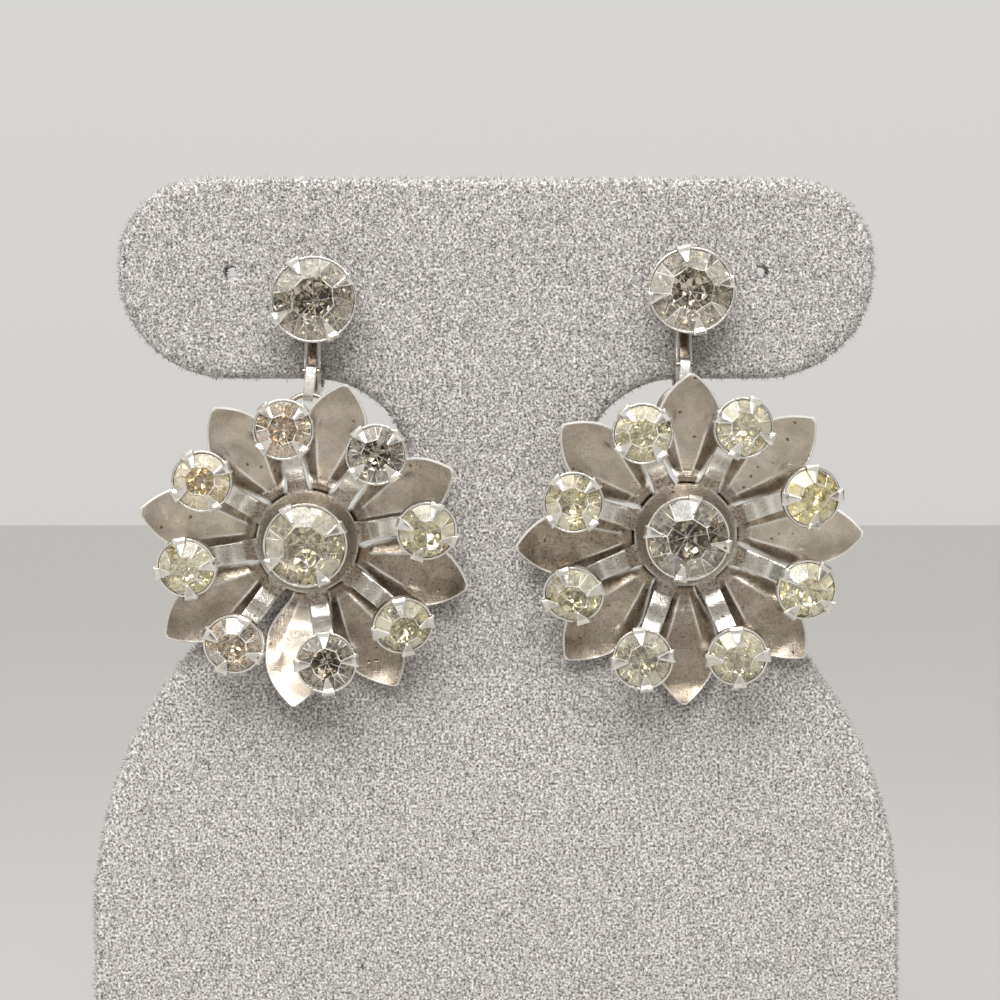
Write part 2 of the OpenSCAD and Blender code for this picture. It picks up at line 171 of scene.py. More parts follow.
class StandSettings(bpy.types.PropertyGroup):
    """The flocked stand"""
    rounding: bpy.props.IntProperty(
        name="Rounding", description="How often the edges under the flock are smoothed", default=9, min=0)
    fibre_length: length_setting("Fibre length", "Mean length of a flock fibre", 0.0004)
    fibre_width: length_setting("Fibre width", "Width of a fibre at its root", 0.00012)
    light: colour_setting("Light fibres", "Colour of the lightest fibres", (0.96, 0.93, 0.9))
    dark: colour_setting("Dark fibres", "Colour of the darkest fibres", (0.14, 0.12, 0.115))


class MetalSettings(bpy.types.PropertyGroup):
    """The plated metal"""
    bright: colour_setting("Plating", "Colour of clean plating", (0.86, 0.83, 0.77))
    stamped: colour_setting("Stamped plating", "Colour of the stamped sheets", (0.615, 0.55, 0.46))
    # Colour of the painted highlight: a near-white tone painted on edges, crease ridges and prongs
    painted_highlight: colour_setting("Rubbed edges", "Colour of edges that are rubbed bright", (0.97, 0.95, 0.91))
    # Colour of tarnished plating, and the colour that the painted shade darkens towards
    tarnish_and_shade: colour_setting("Tarnish", "Colour of tarnished plating", (0.2, 0.15, 0.105))
    roughness: number_setting("Roughness", "Roughness of worn plating", 0.22, min=0, max=1)


class FlowerSettings(bpy.types.PropertyGroup):
    """The flower's sheet, arms and cups"""
    petal_sheet: length_setting("Petal sheet", "Thickness of the petals", 0.00034)
    petal_half: length_setting("Petal half width", "Half the width of a petal at its widest", 0.0027)
    root_half: length_setting("Root half width", "Half the width of a petal at its root", 0.00075)
    arm_width: length_setting("Arm width", "Width of an arm", 0.0016)
    arm_sheet: length_setting("Arm sheet", "Thickness of the hub plate and arms", 0.00036)
    hub_radius: length_setting("Hub radius", "Radius of the hub plate between the arms", 0.0043)
    small_lift: length_setting("Stone lift", "Height of the small stones' girdles", 0.0052)


class StoneSettings(bpy.types.PropertyGroup):
    """The cut stones"""
    small: length_setting("Small stones", "Diameter of the small stones", 0.00455)
    centre: length_setting("Centre stones", "Diameter of the centre stones", 0.0065)
    top: length_setting("Lobe stones", "Diameter of the lobe stones", 0.0067)
    refraction: number_setting("Refraction", "Refractive index of the glass", 1.56, min=1, max=2.4)


class StageSettings(bpy.types.PropertyGroup):
    """The floor, the light and the camera"""
    floor: colour_setting("Floor", "Colour of the floor", (0.48, 0.475, 0.465))
    key: number_setting("Key light", "Power of the large soft light", 2.7, min=0, unit="POWER")
    distance: length_setting("Camera distance", "From the camera to the panel's front face", 0.24)


class EarringSettings(bpy.types.PropertyGroup):
    """All sizes and colours"""
    stand: bpy.props.PointerProperty(type=StandSettings)
    metal: bpy.props.PointerProperty(type=MetalSettings)
    flower: bpy.props.PointerProperty(type=FlowerSettings)
    stones: bpy.props.PointerProperty(type=StoneSettings)
    stage: bpy.props.PointerProperty(type=StageSettings)


def settings():
    return bpy.context.scene.earring_settings


# Helpers for modelling

def smooth(low, high, x):
    t = min(1, max(0, (x - low) / (high - low)))
    return t * t * (3 - 2 * t)


def lerp(a, b, t):
    return a + (b - a) * t


def bent_line(points, x, soft):
    """Height at x of a line through points whose corners are rounded over a length of soft."""
    xs, ys = zip(*points)
    return float(np.mean([np.interp(x + soft * k / 4, xs, ys) for k in range(-2, 3)]))


def pick_only(piece):
    bpy.ops.object.select_all(action="DESELECT")
    piece.select_set(True)
    bpy.context.view_layer.objects.active = piece


def edit_mode():
    bpy.ops.object.mode_set(mode="EDIT")


def object_mode():
    bpy.ops.object.mode_set(mode="OBJECT")


def apply_modifier(piece, kind, **values):
    pick_only(piece)
    bpy.ops.object.modifier_add(type=kind)
    modifier = piece.modifiers[-1]
    for name, value in values.items():
        setattr(modifier, name, value)
    bpy.ops.object.modifier_apply(modifier=modifier.name)


def thicken(piece, thickness, edge=0.06):
    """Gives a sheet its thickness and rounds its cut edges."""
    apply_modifier(piece, "SOLIDIFY", thickness=thickness, offset=0)
    apply_modifier(piece, "BEVEL", width=edge, segments=2, angle_limit=radians(55))


def shade(piece, angle=40):
    pick_only(piece)
    bpy.ops.object.shade_smooth_by_angle(angle=radians(angle))


def close_seams(piece, holes=False):
    """Joins the seam of a sheet that was bent round, or closes its holes, and turns its faces outwards."""
    pick_only(piece)
    edit_mode()
    bpy.ops.mesh.select_all(action="SELECT")
    bpy.ops.mesh.remove_doubles(threshold=0.001)
    if holes:
        bpy.ops.mesh.fill_holes(sides=0)
        bpy.ops.mesh.select_all(action="SELECT")
    bpy.ops.mesh.normals_make_consistent(inside=False)
    object_mode()


def join(pieces, name):
    pick_only(pieces[0])
    for piece in pieces[1:]:
        piece.select_set(True)
    bpy.ops.object.join()
    pieces[0].name = name
    return pieces[0]


def copy_of(piece, place):
    """A copy with its own mesh, moved to its place."""
    twin = piece.copy()
    twin.data = piece.data.copy()
    bpy.context.collection.objects.link(twin)
    twin.data.transform(place)
    return twin


def discard(piece):
    bpy.data.objects.remove(piece)


def sheet(rows, cols, place):
    """A sheet of rows along t, from 0 to 1, and cols across s, from -1 to 1, laid as place(t, s) says."""
    bpy.ops.mesh.primitive_grid_add(x_subdivisions=cols, y_subdivisions=rows, size=2)
    piece = bpy.context.object
    for vertex in piece.data.vertices:
        vertex.co = place((vertex.co.y + 1) / 2, -vertex.co.x)
    return piece


def write(piece, name, values, on="POINT"):
    """Gives every point or face of a piece a value, for its material to read."""
    piece.data.attributes.new(name, "FLOAT", on).data.foreach_set("value", values)


def paint(piece, name, rule):
    """Gives every point of a piece the value rule(co)."""
    write(piece, name, [rule(vertex.co) for vertex in piece.data.vertices])


def pick_edges(piece, wanted):
    """Selects the free edges whose two points pass wanted(co). The piece is in edit mode."""
    mesh = bmesh.from_edit_mesh(piece.data)
    bpy.ops.mesh.select_all(action="DESELECT")
    for edge in mesh.edges:
        if (edge.is_boundary or edge.is_wire) and all(wanted(vertex.co) for vertex in edge.verts):
            edge.select_set(True)
    bmesh.update_edit_mesh(piece.data)


def extrude_to(piece, place):
    """Extrudes the selected edges and puts the new points where place(co) says."""
    bpy.ops.mesh.extrude_region_move()
    mesh = bmesh.from_edit_mesh(piece.data)
    for vertex in mesh.verts:
        if vertex.select:
            vertex.co = place(vertex.co.copy())
    bmesh.update_edit_mesh(piece.data)


def draw_out(piece, out, rim, width, stations):
    """Draws a tab out of a turned sheet's rim, along out. Each station gives its distance from the middle,
    its height, half its width and the rise of its ridge. The piece is in edit mode."""
    across = Vector((-out.y, out.x, 0))
    pick_edges(piece, lambda co: abs(co.dot(across)) < width + 0.02 and co.dot(out) > rim * 0.9)
    for radius, height, next_width, ridge in stations:
        extrude_to(piece, lambda co: out * radius + across * co.dot(across) / width * next_width
                   + Vector((0, 0, height + ridge * (1 - abs(co.dot(across)) / width))))
        width = next_width


def turned(profile, angles, closed_start=True):
    """A turned sheet: a circle with a point at each angle, or at so many even angles, extruded along the
    profile of (radius, height)."""
    if isinstance(angles, int):
        angles = [tau * k / angles for k in range(angles)]
    radius, height = profile[0]
    bpy.ops.mesh.primitive_circle_add(
        vertices=len(angles), radius=radius, fill_type="TRIFAN" if closed_start else "NOTHING")
    piece = bpy.context.object
    rim = [vertex for vertex in piece.data.vertices if vertex.co.length > radius / 2]
    for vertex, angle in zip(rim, angles):
        vertex.co = (radius * cos(angle), radius * sin(angle), height)
    for vertex in piece.data.vertices:
        vertex.co.z = height
    edit_mode()
    pick_edges(piece, lambda co: True)
    for radius, height in profile[1:]:
        extrude_to(piece, lambda co: Vector((*(co.xy.normalized() * radius), height)))
    object_mode()
    return piece


# Places

def box_mm(node):
    """The two corners of a solid's box in millimetres."""
    return [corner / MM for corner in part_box(node)]


def joint_mm(name):
    """Where a joint is, in millimetres."""
    return Vector(JOINTS[name]["pos_m"]) / MM


def turn_by(degrees, axis):
    return Matrix.Rotation(radians(degrees), 4, axis)


def flower_place(side):
    """From a flower's own axes in mm, x to the right, y up the flower and z to its front, to the frame."""
    joint = JOINTS[f"flower_{side}_sway"]
    front = Vector(joint["axis"]).normalized()
    right = Vector((1, 0, 0))
    turn = Matrix((right, front.cross(right), front)).transposed().to_4x4()
    centre = Vector(joint["pos_m"]) - turn @ Vector((RING_U[side], RING_V, RING_W)) * MM
    return Matrix.Translation(centre) @ turn @ TO_METRES


def stone_place(side, row):
    """A small stone's place on the flower, its girdle at z = 0 and the first prong along x."""
    direction, distance, tilt, towards, turn = row
    angle = radians(direction)
    lift = settings().flower.small_lift / MM
    return (Matrix.Translation((distance * cos(angle), distance * sin(angle), lift))
            @ turn_by(towards, "Z") @ turn_by(tilt, "Y") @ turn_by(turn - towards, "Z"))


def centre_place(side):
    lift = HUB_TOP + cup_depth(settings().stones.centre / MM)
    return Matrix.Translation((0, 0, lift)) @ turn_by(CENTRE_TURN[side], "Z")


def top_place(side):
    """The lobe stone's place in the frame, worked out from its solid."""
    low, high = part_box(f"top_stone_{side}")
    size = settings().stones.top / MM
    middle = ((low.x + high.x) / 2, high.y - PAVILION * size * MM, (low.z + high.z) / 2)
    return Matrix.Translation(middle) @ turn_by(90, "X") @ turn_by(TOP_TURN[side], "Z") @ TO_METRES


def cup_depth(size):
    return PAVILION * size + CUP_FLOOR


def settle(piece, finishes, place, body, node):
    """Gives a finished piece its materials, moves its mesh to its place, hangs it on its body and hides the solid
    that it stands for."""
    for finish in finishes:
        piece.data.materials.append(finish)
    piece.data.transform(place)
    piece.data.update()
    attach(piece, body)
    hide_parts(node)


# Materials

class Nodes:
    """A node tree, with short ways to add nodes that are already linked."""

    def __init__(self, tree):
        self.tree = tree

    def feed(self, node, inputs):
        """Links or sets the inputs of a node."""
        for key, value in inputs.items():
            if hasattr(value, "is_linked"):
                self.tree.links.new(value, node.inputs[key])
            else:
                node.inputs[key].default_value = value

    def add(self, kind, inputs=None, **values):
        node = self.tree.nodes.new(f"ShaderNode{kind}")
        for key, value in values.items():
            setattr(node, key, value)
        self.feed(node, inputs or {})
        return node

    def maths(self, operation, *terms, clamp=False):
        return self.add("Math", dict(enumerate(terms)), operation=operation, use_clamp=clamp).outputs[0]

    def vector(self, operation, *terms, **more):
        return self.add("VectorMath", {**dict(enumerate(terms)), **more}, operation=operation).outputs[0]

    def spread(self, value, low, high, to_low=0, to_high=1, **values):
        """Turns the range from low to high into the range from to_low to to_high."""
        return self.add("MapRange", {0: value, 1: low, 2: high, 3: to_low, 4: to_high}, **values).outputs[0]


class Look(Nodes):
    """A new material and its patterns, which all read the piece's own coordinates or attributes."""

    def __init__(self, name):
        self.material = bpy.data.materials.new(name)
        self.material.use_nodes = True
        super().__init__(self.material.node_tree)
        self.place = self.add("TexCoord").outputs["Object"]

    def own(self, attribute):
        return self.add("Attribute", attribute_name=attribute).outputs["Fac"]

    def noise(self, scale, detail, **more):
        inputs = {"Vector": self.place, "Scale": scale, "Detail": detail, **more}
        return self.add("TexNoise", inputs).outputs["Fac"]

    def streaks(self, size, turn):
        """Noise along one direction: size gives the scales across and along it, turn the direction."""
        mapping = self.add("Mapping", {"Vector": self.place, "Rotation": (0, turn, 0),
                                       "Scale": (size[0], 1, size[1])})
        return self.add("TexNoise", {"Vector": mapping.outputs[0], "Scale": 1, "Detail": 2}).outputs["Fac"]

    def cells(self, scale):
        """A mosaic: the channels of its colours, its colours, and the distances from its cells' points."""
        cells = self.add("TexVoronoi", {"Vector": self.place, "Scale": scale, "Randomness": 1})
        channels = self.add("SeparateColor", {"Color": cells.outputs["Color"]}).outputs
        return channels, cells.outputs["Color"], cells.outputs["Distance"]

    def mixed(self, share, low, high):
        """A colour between low and high, each given as a colour or as a node's output."""
        ends = [end if hasattr(end, "is_linked") else (*end, 1) for end in (low, high)]
        return self.add("Mix", {0: share, 6: ends[0], 7: ends[1]}, data_type="RGBA").outputs[2]

    def bump(self, height, strength, distance):
        inputs = {"Height": height, "Strength": strength, "Distance": distance}
        return self.add("Bump", inputs).outputs["Normal"]

    def finish(self, inputs):
        """Feeds the Principled shader and gives the material."""
        self.feed(self.tree.nodes["Principled BSDF"], inputs)
        return self.material


def metal(name, plating, tarnish_and_shade, roughness, pits, painted_shade=False):
    """Plating with wear: tarnished blotches, pits and fine scratches. A painted highlight, near-white and less
    metallic, goes where the piece's highlight attribute says so and, when asked, a painted shade goes where its
    shade attribute says so."""
    colours = settings().metal
    look = Look(name)
    blotches = look.noise(420, 8, Roughness=0.62, Distortion=0.6)
    amount = look.spread(blotches, 0.42, 0.72, 0, tarnish_and_shade)
    # Painted shade: the piece's shade attribute darkens the plating further, towards the dark tarnished colour
    if painted_shade:
        amount = look.maths("ADD", amount, look.own("painted_shade"), clamp=True)
    fine = look.noise(5200, 3)
    amount = look.maths("MULTIPLY", amount, look.spread(fine, 0.5, 0.62, 0.92, 1.35), clamp=True)
    channels, _, distance = look.cells(1700)
    rare = look.spread(channels[0], 1 - 0.16 * pits - 0.01, 1 - 0.16 * pits)
    pit = look.maths("MULTIPLY", rare, look.spread(distance, 0.16, 0.3, 1, 0))
    # Painted highlight: where the piece's highlight attribute says so, the plating turns near-white and less
    # metallic and its dark blotches are wiped off
    painted_highlight = look.own("painted_highlight")
    # The darkening: tarnished blotches and pits, together with the painted shade
    dirt_and_shade = look.maths("MULTIPLY", look.maths("MAXIMUM", amount, pit), look.maths("SUBTRACT", 1, painted_highlight))
    rough = colours.roughness * roughness
    scratches = look.maths("MAXIMUM", look.streaks((900, 16000), 0.5), look.streaks((14000, 1100), 0.2))
    grain = look.maths("MULTIPLY_ADD", fine, 0.5, scratches)
    plating_and_highlight = look.mixed(painted_highlight, getattr(colours, plating), colours.painted_highlight)
    return look.finish({
        "Base Color": look.mixed(dirt_and_shade, plating_and_highlight, colours.tarnish_and_shade),
        "Metallic": look.maths("MULTIPLY_ADD", painted_highlight, -0.6, 1),
        "Roughness": look.spread(blotches, 0.3, 0.75, rough * 0.7, rough * 1.7),
        "Normal": look.bump(look.maths("SUBTRACT", grain, pit), 0.75, 0.00003)})


def stone_glass(name, colour, milk):
    """Glass with a bright polish. Each facet is milky by its own share, up to milk."""
    look = Look(name)
    haze = look.noise(1500, 6, Roughness=0.7)
    cloud = look.maths("MULTIPLY_ADD", haze, 2.2, look.own("facet"))
    return look.finish({
        "Base Color": (*colour, 1), "IOR": settings().stones.refraction,
        "Transmission Weight": look.spread(cloud, 1, 2, 1 - milk, 1),
        "Roughness": look.spread(haze, 0.5, 0.8, 0, 0.08),
        "Coat Weight": 1 if milk else 0, "Coat IOR": 1.5, "Coat Roughness": 0.06,
        "Coat Normal": look.bump(haze, 0.35, 0.00004)})


def stone_foil(name, colour, stain, amount):
    """The foil behind a stone: a mosaic of dark and bright flakes, most of them dark near the culet."""
    look = Look(name)
    channels, flakes, _ = look.cells(2300)
    mottle = look.maths("MULTIPLY_ADD", look.noise(1900, 6, Roughness=0.75), 0.6, channels[1])
    reach = look.own("reach")
    loss = look.maths("MULTIPLY", look.spread(mottle, 0.72, 0.86, 0, amount),
                      look.spread(reach, 0.3, 0.7, 1, 0.45))
    shift = look.vector("SUBTRACT", flakes, (0.5, 0.5, 0.5))
    slant = look.vector("SCALE", shift, Scale=look.spread(reach, 0.3, 0.65, 0.85, 0.2))
    tilted = look.vector("ADD", look.add("NewGeometry").outputs["Normal"], slant)
    return look.finish({"Base Color": look.mixed(loss, colour, stain), "Metallic": 1, "Roughness": 0.1,
                        "Normal": look.vector("NORMALIZE", tilted)})


def facet_edge_highlight():
    """The polished edges between the facets, painted near-white as a painted highlight that shows from every side.
    """
    look = Look("facet_edge_highlight")
    return look.finish({"Base Color": (0.95, 0.93, 0.87, 1), "Roughness": 0.12,
                        "IOR": settings().stones.refraction,
                        "Transmission Weight": look.spread(look.noise(900, 3), 0.42, 0.6)})


def flock(name, ground=False):
    """Flock: each fibre has its own tone, and the ground under them is mottled felt."""
    colours = settings().stand
    look = Look(name)
    tone = look.spread(look.noise(4800, 4), 0.35, 0.65) if ground else look.own("tone")
    return look.finish({"Base Color": look.mixed(tone, colours.dark, colours.light), "Roughness": 0.9,
                        "Sheen Weight": 0.3, "Sheen Roughness": 0.5})


def floor_paint():
    look = Look("floor_paint")
    rough = look.spread(look.noise(30, 4), 0, 1, 0.65, 0.75)
    return look.finish({"Base Color": (*settings().stage.floor, 1), "Roughness": rough})


# The stand

def soft_body():
    """The stand's solid with its edges rounded as they are under flock, and its two post holes."""
    body = copy_of(frame["nodes"]["stand"], Matrix.Scale(1 / MM, 4))
    body.name = "stand_body"
    body.parent = None
    for key in list(body.keys()):
        del body[key]
    body.data.materials.clear()
    close_seams(body)
    apply_modifier(body, "REMESH", mode="VOXEL", voxel_size=0.55)
    apply_modifier(body, "SMOOTH", factor=0.5, iterations=settings().stand.rounding)
    for hole in (mount for mount in frame["record"]["mounts"] if mount["name"].startswith("post_hole")):
        bpy.ops.mesh.primitive_cylinder_add(
            vertices=24, radius=hole["dims"]["r_mm"], depth=3 * hole["dims"]["length_mm"],
            location=Vector(hole["pos_m"]) / MM, rotation=(radians(90), 0, 0))
        drill = bpy.context.object
        apply_modifier(body, "BOOLEAN", object=drill, operation="DIFFERENCE", solver="EXACT")
        discard(drill)
    return body


def fibres(name, body, wanted, count, seed):
    """Flock on the faces of body that pass wanted(centres, normals): thin three-sided spikes, each leaning
    its own way, as one mesh. Each spike has its own tone from 0, dark, to 1, light."""
    look = settings().stand
    body.data.calc_loop_triangles()
    corners = np.array([triangle.vertices[:] for triangle in body.data.loop_triangles])
    points = np.empty(len(body.data.vertices) * 3)
    body.data.vertices.foreach_get("co", points)
    a, b, c = (points.reshape(-1, 3)[corners[:, k]] for k in range(3))
    cross = np.cross(b - a, c - a)
    area = np.linalg.norm(cross, axis=1)
    normal = cross / np.maximum(area, 1e-12)[:, None]
    kept = wanted((a + b + c) / 3, normal) & (area > 0)
    a, b, c, area, normal = a[kept], b[kept], c[kept], area[kept], normal[kept]
    chance = np.random.default_rng(seed)
    pick = chance.choice(len(area), count, p=area / area.sum())
    u, v = chance.random(count), chance.random(count)
    flip = u + v > 1
    u[flip], v[flip] = 1 - u[flip], 1 - v[flip]
    root = a[pick] + (b - a)[pick] * u[:, None] + (c - a)[pick] * v[:, None]
    up = normal[pick] * 0.55 + chance.normal(size=(count, 3)) * 0.65
    up /= np.linalg.norm(up, axis=1)[:, None]
    up[(up * normal[pick]).sum(1) < 0] *= -1
    length = (look.fibre_length / MM) * chance.uniform(0.55, 1.35, count)
    side = np.cross(up, chance.normal(size=(count, 3)))
    side /= np.linalg.norm(side, axis=1)[:, None]
    other = np.cross(up, side)
    width = look.fibre_width / MM / 2 * chance.uniform(0.7, 1.4, count)
    foot = root - normal[pick] * 0.08
    spikes = np.empty((count, 4, 3))
    for k in range(3):
        turn = tau * k / 3
        spikes[:, k] = foot + (side * cos(turn) + other * sin(turn)) * width[:, None]
    spikes[:, 3] = root + up * length[:, None]
    spikes[:, :, 2] = np.maximum(spikes[:, :, 2], 0)
    first = np.arange(count)[:, None] * 4
    faces = np.concatenate([first + np.array(face) for face in ((0, 1, 3), (1, 2, 3), (2, 0, 3))])
    mesh = bpy.data.meshes.new(name)
    mesh.from_pydata(spikes.reshape(-1, 3), [], faces, shade_flat=False)
    piece = bpy.data.objects.new(name, mesh)
    write(piece, "tone", np.repeat(chance.random(count) ** 0.8, 4))
    bpy.context.collection.objects.link(piece)
    return piece


class EARRINGS_OT_stand(bpy.types.Operator):
    """Builds the flocked stand"""
    bl_idname = "earrings.stand"
    bl_label = "Stand"

    def execute(self, context):
        body = soft_body()
        low, high = box_mm("stand")
        waist = lerp(low.z, high.z, 0.5)
        foot = low.y + 6
        # Columns: which faces, by their centres and normals, how many fibres, and the seed
        areas = {
            "flock_front_low": (lambda at, n: (n[:, 1] < -0.3) & (at[:, 2] < waist), 56000, 1),
            "flock_front_high": (lambda at, n: (n[:, 1] < -0.3) & (at[:, 2] >= waist), 60000, 2),
            "flock_back": (lambda at, n: (n[:, 1] > 0.3) & (at[:, 1] < foot), 36000, 3),
            "flock_edges": (lambda at, n: ((abs(n[:, 1]) <= 0.3) | (at[:, 1] > foot)) & (n[:, 2] > -0.6),
                            38000, 4),
        }
        fibre = flock("flock_fibres")
        jobs = [(fibres(name, body, *how), fibre) for name, how in areas.items()]
        shade(body, 60)
        for piece, finish in [(body, flock("flock_ground", ground=True)), *jobs]:
            settle(piece, [finish], TO_METRES, "stand", "stand")
        return {"FINISHED"}


# Cups and stones

def prong_cup(size):
    """A stamped cup with four prongs: a turned sheet whose rim is drawn up into tabs over the stone."""
    rim = size / 2 + 0.14
    tip = rim - PRONG_REACH
    deep = cup_depth(size) - 0.1
    foot = FOOT_SHARE * size / 2
    half = asin(PRONG_HALF / rim)
    angles = [tau * k / 4 + turn for k in range(4) for turn in
              [half * j / 2 for j in range(-2, 3)]
              + [half + (tau / 4 - 2 * half) * j / 9 for j in range(1, 9)]]
    cup = turned([(foot * 0.5, -deep), (foot, -deep), (foot * 1.08, -deep + 0.12),
                  (lerp(foot, rim, 0.55), -deep * 0.55), (lerp(foot, rim, 0.9), -0.75),
                  (rim - 0.02, -0.5), (rim, -0.25), (rim, 0.05), (rim, 0.13)], angles)

    def half_width(radius):
        return lerp(PRONG_TIP, PRONG_HALF, min(max((radius - tip) / (rim - tip), 0), 1))

    stations = [(rim + 0.14, 0.28, 0.55, 0), (rim + 0.17, 0.42, PRONG_HALF, 0.02),
                (rim + 0.04, 0.58, PRONG_HALF, 0.06)]
    slope = CROWN * size / (size / 2 * (1 - TABLE))
    for radius, rise in (rim - 0.3, 0.22), (lerp(rim - 0.3, tip, 0.5), 0.18), (tip, 0.15):
        crown = GIRDLE + (size / 2 - radius) * slope
        width = half_width(radius)
        stations.append((radius, crown + rise, width, 0.08 * width / PRONG_HALF))
    edit_mode()
    for k in range(4):
        draw_out(cup, Vector((cos(tau * k / 4), sin(tau * k / 4), 0)), rim, PRONG_HALF, stations)
    object_mode()
    close_seams(cup)
    thicken(cup, CUP_SHEET, 0.04)

    # Painted highlight on the prongs' tops, brightest along their edges
    def painted_highlight(co):
        turn = remainder(atan2(co.y, co.x), tau / 4)
        radius, aside = co.xy.length * cos(turn), abs(co.xy.length * sin(turn))
        half = half_width(radius)
        return smooth(0.22, 0.34, co.z) * (0.12 + 0.7 * smooth(half - 0.09, half - 0.02, aside))

    paint(cup, "painted_highlight", painted_highlight)
    # Painted shade on the cup below the stone's girdle
    paint(cup, "painted_shade", lambda co: 0.45 * (1 - smooth(-0.1, 0.1, co.z)))
    return cup


def cut_stone(size):
    """A stone cut from a round blank: eight wide crown facets, eight narrow ones, sixteen below. Every
    facet has a narrow border for its polished edge, which carries the painted highlight."""
    radius = size / 2
    top = GIRDLE + CROWN * size
    deep = PAVILION * size
    bpy.ops.mesh.primitive_cylinder_add(
        vertices=48, radius=radius, depth=top + deep, location=(0, 0, (top - deep) / 2))
    stone = bpy.context.object
    bpy.ops.object.transform_apply(location=True)
    edit_mode()
    # Columns: turn of the first facet, radius and height at its inner and at its outer edge
    cuts = [(22.5, radius * TABLE * cos(radians(22.5)), top, radius * 0.964, GIRDLE),
            (0, radius * TABLE, top, radius * 0.9925, GIRDLE),
            (0, 0, -deep, radius * 0.985, -0.02),
            (22.5, 0, -deep * 1.06, radius * 0.97, -0.06)]
    for first, inner, inner_z, outer, outer_z in cuts:
        steep = Vector((inner_z - outer_z, 0, outer - inner))
        if outer_z < GIRDLE:
            steep = -steep
            steep.x = abs(steep.x)
        steep.normalize()
        for k in range(8):
            turn = Matrix.Rotation(radians(first + 45 * k), 3, "Z")
            bpy.ops.mesh.select_all(action="SELECT")
            bpy.ops.mesh.bisect(plane_co=turn @ Vector((outer, 0, outer_z)), plane_no=turn @ steep,
                                use_fill=True, clear_outer=True, threshold=0.00001)
    object_mode()
    close_seams(stone)
    # Every face starts with the painted highlight of the facet edges; the inset faces then get their own glass or
    # foil
    for face in stone.data.polygons:
        face.select = abs(face.normal.z) > 0.1
        face.material_index = EDGE_HIGHLIGHT
    edit_mode()
    bpy.ops.mesh.select_mode(type="FACE")
    bpy.ops.mesh.inset(thickness=0.04, use_individual=True)
    object_mode()
    for face in stone.data.polygons:
        if face.select:
            up = face.normal.z
            face.material_index = FOIL if up < 0 else GLASS if up > 0.95 else CROWN_GLASS
    paint(stone, "reach", lambda co: co.xy.length / radius)
    return stone


class EARRINGS_OT_stones(bpy.types.Operator):
    """Cuts all the stones and sets them in their cups"""
    bl_idname = "earrings.stones"
    bl_label = "Stones"

    def execute(self, context):
        sizes = settings().stones
        # Columns: glass, foil, stain on the foil and its amount, milkiness of the table
        looks = {
            "clear": ((0.96, 0.93, 0.87), (0.86, 0.81, 0.72), (0.1, 0.075, 0.05), 0.9, 0),
            "dark": ((0.95, 0.92, 0.86), (0.72, 0.66, 0.56), (0.06, 0.042, 0.028), 1.0, 0),
            "pale": ((0.96, 0.925, 0.82), (0.88, 0.84, 0.7), (0.22, 0.175, 0.1), 0.7, 0.08),
            "yellow": ((0.97, 0.935, 0.79), (0.96, 0.92, 0.74), (0.58, 0.5, 0.3), 0.55, 0.24),
            "butter": ((0.985, 0.94, 0.75), (0.98, 0.94, 0.75), (0.76, 0.68, 0.43), 0.45, 0.5),
            "amber": ((0.99, 0.92, 0.6), (0.99, 0.93, 0.64), (0.84, 0.7, 0.4), 0.45, 0.7),
            "peach": ((0.985, 0.935, 0.79), (0.98, 0.92, 0.74), (0.84, 0.58, 0.32), 0.5, 0.4),
            "blush": ((0.97, 0.93, 0.85), (0.9, 0.84, 0.72), (0.5, 0.27, 0.14), 0.65, 0.08),
        }
        # The painted highlight on the facets' polished edges
        edge = facet_edge_highlight()
        finishes = {name: (stone_glass(f"{name}_glass", glass, milk),
                           stone_glass(f"{name}_crown", glass, 0.42 + 0.5 * milk),
                           stone_foil(f"{name}_foil", foil, stain, amount), edge)
                    for name, (glass, foil, stain, amount, milk) in looks.items()}
        models = {name: cut_stone(getattr(sizes, name) / MM) for name in ("top", "centre", "small")}
        for side in SIDES:
            flower = flower_place(side)
            jobs = [(f"top_stone_{side}", "top", top_place(side), "stand"),
                    (f"centre_stone_{side}", "centre", flower @ centre_place(side), f"flower_{side}")]
            jobs += [(f"stone_{k + 1}_{side}", "small", flower @ stone_place(side, row), f"flower_{side}")
                     for k, row in enumerate(STONES[side])]
            for (node, model, place, body), tint in zip(jobs, TINTS[side]):
                stone = copy_of(models[model], Matrix.Identity(4))
                stone.name = f"cut_{node}"
                chance = random.Random(node)
                write(stone, "facet", [chance.random() for _ in stone.data.polygons], "FACE")
                settle(stone, finishes[tint], place, body, node)
        for model in models.values():
            discard(model)
        return {"FINISHED"}


# The flower

def petal_width(t):
    flower = settings().flower
    root, half = flower.root_half / MM, flower.petal_half / MM
    if t < WIDEST:
        return lerp(root, half, smooth(*FLARE, t))
    return lerp(TIP_HALF, half, 1 - ((t - WIDEST) / (1 - WIDEST)) ** TIP_BOW)


def crease(r):
    return lerp(CREASE[0][1], CREASE[1][1], (r - CREASE[0][0]) / (CREASE[1][0] - CREASE[0][0]))


